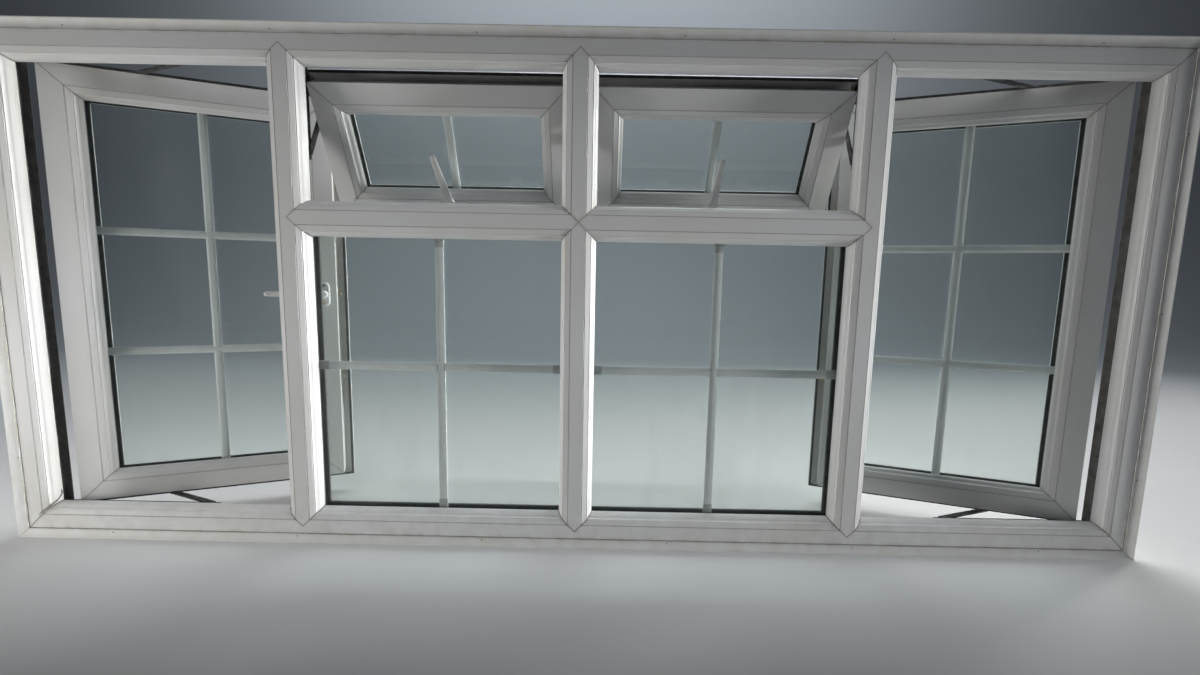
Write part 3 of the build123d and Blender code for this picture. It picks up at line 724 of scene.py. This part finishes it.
def turnPiece(mesh, base, axis, rings, paintedShadeFrom=None):
    # rings are (height, radius or radii); faces from the given ring on have the second material,
    # painted shade for a recess
    paintedShadeFrom = len(rings) + 1 if paintedShadeFrom is None else paintedShadeFrom
    axis = axis.normalized()
    right = axis.orthogonal().normalized()
    up = axis.cross(right)
    loops = []
    for height, radii in rings:
        if isinstance(radii, float):
            radii = [radii] * turnedSides
        loop = []
        for index, radius in enumerate(radii):
            turn = index * 2 * pi / turnedSides
            loop.append(mesh.verts.new(base + axis * height
                                       + (right * cos(turn) + up * sin(turn)) * radius))
        loops.append(loop)
    for step, (first, second) in enumerate(zip(loops, loops[1:])):
        for index in range(turnedSides):
            after = (index + 1) % turnedSides
            face = mesh.faces.new((first[index], first[after], second[after], second[index]))
            face.material_index = 1 if step >= paintedShadeFrom else 0
    lid = mesh.faces.new(loops[-1])
    lid.material_index = 1 if len(loops) > paintedShadeFrom else 0


def addScrew(mesh, base, axis, radius, rise):
    cross = crossRadii(radius * screwShape["crossReach"], radius * screwShape["crossHalf"])
    floor = [value * screwShape["crossFloor"] for value in cross]
    rings = domeRings(screwShape["head"], rise, radius)
    # the cross recess gets painted shade
    dark = len(rings)
    rings += [(rise, cross), (rise * screwShape["floorRise"], floor)]
    turnPiece(mesh, base, axis, rings, dark)


def addRivet(mesh, base, axis, radius, rise):
    turnPiece(mesh, base, axis, domeRings(rivetShape, rise, radius))


def addPiece(name, mesh, body, materials, sharp=32):
    bmesh.ops.recalc_face_normals(mesh, faces=mesh.faces)
    data = bpy.data.meshes.new(name)
    mesh.to_mesh(data)
    mesh.free()
    data.set_sharp_from_angle(angle=radians(sharp))
    for face in data.polygons:
        face.use_smooth = True
    for material in materials:
        data.materials.append(material)
    piece = bpy.data.objects.new(name, data)
    bpy.context.scene.collection.objects.link(piece)
    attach(piece, body)
    return piece


plainFinish = {"patchRange": (0.38, 0.66), "roughSpread": 0.3, "bumpLift": 0.00004}


def plainMaterial(name, first, second, roughness, metal, scale=160.0):
    material, start, point = newMaterial(name)
    patch = point.noise(scale, 4.0, 0.6)
    colour = patch.between(*plainFinish["patchRange"]).mixed(first, second)
    roughness = roughness + plainFinish["roughSpread"] * (patch - 0.5)
    finishMaterial(start, colour, roughness.clip(), patch, plainFinish["bumpLift"], metal=metal)
    return material


fixings = {
    "screwRadius": 0.0032,
    "flushRise": 0.00026,
    "trackFloor": 0.0016,
    "armLevel": 0.0049,
    "barLevel": 0.0093,
    "rivetRadius": 0.0042,
    "rivetRise": 0.0008,
    "trackPlaces": (0.10, 0.40, 0.66, 0.88),    # shares of the way to the fixed pivot
    "barPlaces": (0.22, 0.50, 0.78),            # shares of the bar's length
    "casementCams": (-0.220, 0.0, 0.220),       # along the free edge, from its middle
    "ventCams": (-0.110, 0.110),
    "rodTravel": 0.018,
    "keepBase": 0.002,
    "keepScrewRadius": 0.0026,
    "keepRise": 0.0006,
    "keepScrewOut": 0.0025,                     # beyond each end of the cam's travel
    "casementPlateScrews": (-0.294, -0.110, -0.034, 0.046, 0.130, 0.294),
    "ventPlateScrews": (-0.164, -0.046, 0.046, 0.164),
    "trimNailLine": 0.0125,                     # from the outer edge, in the hollow of the trim
    "trimNailSpacing": 0.36,
    "trimNailRadius": 0.0015,
    "trimNailRise": 0.00022,
}
screwSteel = plainMaterial("screw_steel", (0.42, 0.42, 0.42), (0.20, 0.18, 0.16), 0.35, 0.9)
# a dark colour painted as the shade inside cross recesses and key slots
recessShade = plainMaterial("screw_recess_painted_shade", (0.03, 0.028, 0.026), (0.07, 0.05, 0.035), 0.7, 0.2)
rivetSteel = plainMaterial("rivet_steel", (0.34, 0.34, 0.345), (0.16, 0.12, 0.10), 0.32, 0.9)
nailSteel = plainMaterial("nail_heads", (0.30, 0.28, 0.26), (0.14, 0.10, 0.07), 0.5, 0.6)


def addLightFixings(name, frameScrews):
    place = places[name]
    level = place.length / 2 + lightShape["gap"]
    edge = lightShape["bodyStart"] + place.size
    sashScrews, armRivets, linkRivets = bmesh.new(), bmesh.new(), bmesh.new()
    for end in (-1, 1):
        inwardly = place.lengthwise * -end

        def height(value):
            return end * (level - value)

        for share in fixings["trackPlaces"]:
            base = place.shutPin + place.shut * (place.pivotLine * share)
            base = base + place.lengthwise * height(fixings["trackFloor"])
            addScrew(frameScrews, base, inwardly, fixings["screwRadius"], fixings["flushRise"])
        for share in fixings["barPlaces"]:
            base = place.at(place.bar * share, 0, height(fixings["barLevel"]))
            addScrew(sashScrews, base, -inwardly, fixings["screwRadius"], fixings["flushRise"])
        for mesh, across in ((armRivets, place.bar), (linkRivets, 0.0)):
            addRivet(mesh, place.at(across, 0, height(fixings["armLevel"])), -inwardly,
                     fixings["rivetRadius"], fixings["rivetRise"])
    kind = "vent" if place.topHung else "casement"
    for along in fixings[kind + "PlateScrews"]:
        addScrew(sashScrews, place.at(edge, 0, along), place.across, fixings["screwRadius"],
                 fixings["flushRise"])
    out = fixings["keepScrewOut"]
    for cam in fixings[kind + "Cams"]:
        for along in (cam - out, cam + fixings["rodTravel"] + out):
            base = place.shutPin + place.lengthwise * along
            base = base + place.shut * (edge + lightShape["gap"] - fixings["keepBase"])
            addScrew(frameScrews, base, -place.shut, fixings["keepScrewRadius"],
                     fixings["keepRise"])
    addPiece(name + "_edge_screws", sashScrews, name, (screwSteel, recessShade))
    addPiece(name + "_arm_rivets", armRivets, name + "_arms", (rivetSteel,))
    addPiece(name + "_link_rivets", linkRivets, name + "_links", (rivetSteel,))


def addTrimNails():
    # each head sits where a line from the room meets the trim, square to it
    nails = bmesh.new()
    trim, line = nodes["cover_trims"], fixings["trimNailLine"]
    along, up = Vector((1, 0, 0)), Vector((0, 0, 1))
    runs = (
        (along, Vector((-halfWide, 0, line)), 2 * halfWide),
        (along, Vector((-halfWide, 0, frameHigh - line)), 2 * halfWide),
        (up, Vector((line - halfWide, 0, 0)), frameHigh),
        (up, Vector((halfWide - line, 0, 0)), frameHigh),
    )
    for run, start, length in runs:
        count = int(length / fixings["trimNailSpacing"])
        for index in range(count):
            place = start + run * (length * (index + 0.5) / count)
            place.y = 2 * lowCad.y
            found, base, outward, face = trim.ray_cast(place, Vector((0, 1, 0)))
            if found:
                addRivet(nails, base, outward, fixings["trimNailRadius"],
                         fixings["trimNailRise"])
    addPiece("trim_nails", nails, "frame", (nailSteel,))


frameScrews = bmesh.new()
for name in lightNames:
    addLightFixings(name, frameScrews)
addPiece("frame_screws", frameScrews, "frame", (screwSteel, recessShade))
addTrimNails()
print("screws, rivets and nails done")


# Handle screws, screw caps and lock barrels

handleParts = {
    "seat": -0.040,           # face of the handle base, out from the hinge pin
    "screwLine": 0.0215,      # from the hub to the screws
    "screwRadius": 0.0034,
    "screwRise": 0.0009,
    "capRadius": 0.0052,
    "capRise": 0.0015,
    "capShape": ((0.0, 1.0), (0.4, 1.0), (0.8, 0.88), (1.0, 0.62), (0.9, 0.40), (0.85, 0.05)),
    "barrelRadius": 0.0036,
    "barrelRise": 0.0008,
    "barrelShape": ((0.0, 1.0), (0.7, 1.0), (1.0, 0.86), (0.6, 0.78)),
    "keySlot": (0.62, 0.15),      # half length and half width as shares of the radius
    "keyRim": 0.6,
    "keyFloor": 0.1,
    "barrelDepth": 0.0175,    # slanted face of the lever over the hub, out from the seat
    "barrelShift": 0.008,     # from the hub towards the tip of the lever
    "slope": 0.184,           # rise of that face along the lever
    "turns": {"left_casement": 0.0, "right_casement": 90.0, "left_vent": 13.0,
              "right_vent": -4.0},    # how the levers stand in the photo, in degrees
}


def addHandleParts(name):
    place = places[name]
    hub = lightShape["bodyStart"] + place.size - lightShape["handleLine"]
    seat, line = handleParts["seat"], handleParts["screwLine"]
    toRoom = -place.normal
    screws, caps, barrel = bmesh.new(), bmesh.new(), bmesh.new()
    addScrew(screws, place.at(hub, seat, line), toRoom, handleParts["screwRadius"],
             handleParts["screwRise"])
    turnPiece(caps, place.at(hub, seat, -line), toRoom,
              domeRings(handleParts["capShape"], handleParts["capRise"], handleParts["capRadius"]))
    turn = radians(handleParts["turns"][name])
    pointing = -place.across * cos(turn) - place.lengthwise * sin(turn)
    axis = (toRoom - pointing * handleParts["slope"]).normalized()
    radius, rise = handleParts["barrelRadius"], handleParts["barrelRise"]
    rings = domeRings(handleParts["barrelShape"], rise, radius)
    # the key slot gets painted shade
    dark = len(rings)
    slot = slotRadii(*(radius * share for share in handleParts["keySlot"]))
    rings += [(rise * handleParts["keyRim"], slot), (rise * handleParts["keyFloor"], slot)]
    shift = handleParts["barrelShift"]
    middle = place.at(hub, seat - handleParts["barrelDepth"] - handleParts["slope"] * shift, 0)
    turnPiece(barrel, middle + pointing * shift, axis, rings, dark)
    addPiece(name + "_handle_screw", screws, name, (screwSteel, recessShade))
    addPiece(name + "_screw_cap", caps, name, (capCream,))
    addPiece(name + "_lock_barrel", barrel, name + "_lever",
             (barrelGrey, recessShade))


capCream = plainMaterial("cap_cream", (0.74, 0.68, 0.52), (0.60, 0.52, 0.38), 0.4, 0.0, 300.0)
barrelGrey = plainMaterial("barrel_grey", (0.22, 0.22, 0.22), (0.10, 0.10, 0.10), 0.3, 0.8)
for name in lightNames:
    addHandleParts(name)
print("handle details done")


# Glazing bars of the fixed lights: level bars in line with the lower bars of the casements

barShape = {
    "halfFace": 0.009,
    "bevel": 0.005,
    "halfEdge": 0.0015,
    "halfThick": 0.004,
    "levelRise": 0.021,       # from the middle of the light up to the level bar
    "clipLength": 0.026,
    "clipSpare": 0.0007,
}


def barProfile(spare):
    side = barShape["halfFace"] + spare
    flat = side - barShape["bevel"]
    edge, face = barShape["halfEdge"] + spare, barShape["halfThick"] + spare
    return [(side, -edge), (side, edge), (flat, face), (-flat, face), (-side, edge),
            (-side, -edge), (-flat, -face), (flat, -face)]


def addLength(mesh, start, end, across, profile):
    # straight length of a profile between two places, closed at both ends
    loops = []
    for place in (start, end):
        loops.append([mesh.verts.new(place + across * wide + Vector((0, deep, 0)))
                      for wide, deep in profile])
    count = len(profile)
    for index in range(count):
        after = (index + 1) % count
        mesh.faces.new((loops[0][index], loops[0][after], loops[1][after], loops[1][index]))
    mesh.faces.new(loops[0])
    mesh.faces.new(loops[1])


def addFixedBars():
    grid, clips = bmesh.new(), bmesh.new()
    depth = (fixedLow.y + fixedHigh.y) / 2
    inside = frameShape["spacerInside"]
    low, high = sillHigh.z - inside, transomLow.z + inside
    level = (sillHigh.z + transomLow.z) / 2 + barShape["levelRise"]
    right, up = Vector((1, 0, 0)), Vector((0, 0, 1))
    inner, outer = halfMullion - inside, mullionX - halfMullion + inside
    for side in (-1, 1):
        near, far = sorted((side * inner, side * outer))
        middle = (near + far) / 2
        bottom, top = Vector((middle, depth, low)), Vector((middle, depth, high))
        left, rightEnd = Vector((near, depth, level)), Vector((far, depth, level))
        addLength(grid, bottom, top, right, barProfile(0.0))
        half = right * barShape["halfFace"]
        crossing = Vector((middle, depth, level))
        addLength(grid, left, crossing - half, up, barProfile(0.0))
        addLength(grid, crossing + half, rightEnd, up, barProfile(0.0))
        reach = barShape["clipLength"]
        for end, way, across in ((bottom, up, right), (top, -up, right), (left, right, up),
                                 (rightEnd, -right, up)):
            addLength(clips, end, end + way * reach, across, barProfile(barShape["clipSpare"]))
    grille = addPiece("fixed_bars", grid, "frame", (barMaterial("fixed_bars"),))
    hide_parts("fixed_glazing_bars")
    clipGrey = plainMaterial("bar_clips", (0.66, 0.66, 0.65), (0.52, 0.52, 0.51), 0.5, 0.0)
    addPiece("fixed_bar_clips", clips, "frame", (clipGrey,))


addFixedBars()
print("fixed bars done")


# Loose end of a weather seal, curled out at the lower left corner

sealEnd = {
    "line": ((-0.003, 0.0245, 0.030), (0.003, 0.0215, 0.018), (0.0045, 0.010, 0.008),
             (0.001, 0.0, 0.001), (-0.006, -0.0045, -0.006), (-0.015, -0.0055, -0.013),
             (-0.024, -0.0045, -0.021)),    # from the moulded corner, on the room face
    "halfWide": 0.0020,
    "halfThick": 0.0005,
    "profile": ((1, 0.4), (0.6, 1), (-0.6, 1), (-1, 0.4), (-1, -0.4), (-0.6, -1), (0.6, -1),
                (1, -0.4)),
    "steps": 6,
    "taperSteps": 8,
}


def smoothLine(points, steps):
    # points along a curve that passes through each of the given ones
    line = []
    for index in range(len(points) - 1):
        before = points[max(index - 1, 0)]
        start, end = points[index], points[index + 1]
        after = points[min(index + 2, len(points) - 1)]
        for step in range(steps):
            t = step / steps
            line.append(0.5 * (2 * start + (end - before) * t
                               + (2 * before - 5 * start + 4 * end - after) * t * t
                               + (3 * start - before - 3 * end + after) * t ** 3))
    line.append(points[-1])
    return line


def addSealEnd():
    corner = Vector((-mullionX - halfMullion - casementWide, roomFace, sillHigh.z))
    points = [corner + Vector(offset) for offset in sealEnd["line"]]
    line = smoothLine(points, sealEnd["steps"])
    strip = bmesh.new()
    wide, thick = sealEnd["halfWide"], sealEnd["halfThick"]
    loops = []
    for index, place in enumerate(line):
        ahead = (line[min(index + 1, len(line) - 1)] - line[max(index - 1, 0)]).normalized()
        side = ahead.cross(Vector((0, 1, 0))).normalized()
        over = side.cross(ahead)
        taper = min(1.0, (len(line) - index) / sealEnd["taperSteps"])
        loops.append([strip.verts.new(place + side * a * wide * taper + over * b * thick)
                      for a, b in sealEnd["profile"]])
    count = len(sealEnd["profile"])
    for first, second in zip(loops, loops[1:]):
        for index in range(count):
            after = (index + 1) % count
            strip.faces.new((first[index], first[after], second[after], second[index]))
    strip.faces.new(loops[0])
    strip.faces.new(loops[-1])
    sealGrey = plainMaterial("seal_end", (0.30, 0.29, 0.27), (0.12, 0.115, 0.11), 0.55, 0.0)
    addPiece("loose_seal_end", strip, "frame", (sealGrey,))


addSealEnd()
print("loose seal end done")


# Floor, backdrop, lights and camera

studio = {
    "floor": (0.76, 0.76, 0.75),
    "backdrop": (0.30, 0.32, 0.335),
    "fadeFrom": 0.5,
    "fadeTo": 2.6,
    "roomSide": (0.33, 0.33, 0.33),
    "roomFrom": 0.12,         # the floor goes darker towards the room
    "roomTo": 0.50,
    "floorNear": -6.0,
    "bendStart": 3.4,
    "bendRadius": 2.2,
    "wallHigh": 6.0,
    "bendSteps": 16,
    "halfWide": 12.0,
    "world": (0.74, 0.83, 1.0),
    "worldStrength": 0.075,
}
cameraPlace = {
    "place": (0.0528, -1.0668, 0.5901),
    "focalLength": 14.704,
    "sensor": 36.0,
    "turnDegrees": -0.208,
    "downDegrees": 6.598,
    "rollDegrees": 1.1,
}
lamps = [
    # name, place, aim,
    # width, height, power, colour, spread in degrees, seen in the glass
    ("leftSoft", (-2.0, -0.80, 0.05), (-1.1, 0.0, 0.30),
     0.6, 0.9, 9.5, (1.0, 0.98, 0.95), 120, False),
    ("floorGlow", (-0.5, -0.8, 0.02), (-0.3, 0.1, 0.3),
     2.8, 0.6, 1.3, (1.0, 0.98, 0.95), 180, False),
    ("wallSoft", (0.0, 3.0, 5.6), (0.0, 5.6, 2.2),
     7.0, 1.5, 240.0, (0.93, 0.96, 1.0), 180, False),
    ("skySoft", (1.0, 2.6, 3.4), (0.0, 0.0, 0.5),
     4.0, 2.0, 52.0, (0.95, 0.97, 1.0), 180, True),
    ("sunSide", (5.4, 2.6, 1.0), (-0.2, 0.05, 0.5),
     1.2, 1.2, 20.0, (1.0, 0.98, 0.95), 36, False),
    ("rakeRight", (5.0, -0.22, 0.60), (-0.3, -0.02, 0.50),
     0.12, 1.2, 4.4, (0.97, 0.98, 1.0), 30, False),
    ("rakeTop", (0.0, -0.32, 4.2), (0.0, -0.03, 0.4),
     2.6, 0.12, 1.6, (0.95, 0.97, 1.0), 40, False),
    ("sashGlow", (3.4, -0.62, 0.55), (-0.95, 0.08, 0.5),
     0.3, 1.0, 2.0, (0.98, 0.99, 1.0), 20, False),
    ("rakeLeft", (-5.0, -0.22, 0.60), (0.3, -0.02, 0.50),
     0.12, 1.2, 2.5, (1.0, 0.99, 0.97), 30, False),
]


def addStage():
    mesh = bmesh.new()
    line = [(studio["floorNear"], 0.0), (studio["bendStart"], 0.0)]
    for index in range(1, studio["bendSteps"] + 1):
        turn = index / studio["bendSteps"] * pi / 2
        line.append((studio["bendStart"] + studio["bendRadius"] * sin(turn),
                     studio["bendRadius"] * (1 - cos(turn))))
    line.append((studio["bendStart"] + studio["bendRadius"], studio["wallHigh"]))
    rows = []
    for y, z in line:
        rows.append([mesh.verts.new((side * studio["halfWide"], y, z)) for side in (-1, 1)])
    for first, second in zip(rows, rows[1:]):
        mesh.faces.new((first[0], first[1], second[1], second[0]))
    data = bpy.data.meshes.new("floor_and_backdrop")
    mesh.to_mesh(data)
    mesh.free()
    for face in data.polygons:
        face.use_smooth = True
    floor = bpy.data.objects.new("floor_and_backdrop", data)
    bpy.context.scene.collection.objects.link(floor)
    material, start, point = newMaterial("pale_floor")
    away = point.along((0, 1, 0)).between(studio["fadeFrom"], studio["fadeTo"])
    nearer = point.along((0, -1, 0)).between(studio["roomFrom"], studio["roomTo"])
    colour = away.mixed(studio["floor"], studio["backdrop"])
    finishMaterial(start, nearer.mixed(colour, studio["roomSide"]), 0.8, gloss=0.2)
    data.materials.append(material)


def addLamps():
    for name, place, aim, width, height, power, colour, spread, seen in lamps:
        lamp = bpy.data.lights.new(name, "AREA")
        lamp.shape = "RECTANGLE"
        lamp.size, lamp.size_y = width, height
        lamp.energy = power
        lamp.color = colour
        lamp.spread = radians(spread)
        holder = bpy.data.objects.new(name, lamp)
        holder.location = place
        holder.visible_camera = False
        holder.visible_glossy = seen
        look = Vector(aim) - Vector(place)
        holder.rotation_euler = look.to_track_quat("-Z", "Y").to_euler()
        bpy.context.scene.collection.objects.link(holder)
    world = bpy.data.worlds.new("studio")
    world.use_nodes = True
    back = world.node_tree.nodes["Background"]
    back.inputs["Color"].default_value = (*studio["world"], 1.0)
    back.inputs["Strength"].default_value = studio["worldStrength"]
    bpy.context.scene.world = world


def addCamera():
    yaw = radians(cameraPlace["turnDegrees"])
    pitch = radians(cameraPlace["downDegrees"])
    roll = radians(cameraPlace["rollDegrees"])
    up = Vector((0, 0, 1))
    right = Vector((cos(yaw), -sin(yaw), 0))
    ahead = Vector((sin(yaw), cos(yaw), 0))
    looking = ahead * cos(pitch) - up * sin(pitch)
    lifted = up * cos(pitch) + ahead * sin(pitch)
    camRight = right * cos(roll) + lifted * sin(roll)
    camUp = lifted * cos(roll) - right * sin(roll)
    lens = bpy.data.cameras.new("camera")
    lens.lens = cameraPlace["focalLength"]
    lens.sensor_width = cameraPlace["sensor"]
    lens.sensor_fit = "HORIZONTAL"
    camera = bpy.data.objects.new("camera", lens)
    turned = Matrix((camRight, camUp, -looking)).transposed().to_4x4()
    camera.matrix_world = Matrix.Translation(cameraPlace["place"]) @ turned
    bpy.context.scene.collection.objects.link(camera)
    bpy.context.scene.camera = camera


addStage()
addLamps()
addCamera()
bpy.context.scene.view_settings.view_transform = "Standard"
print("stage, lamps and camera done")
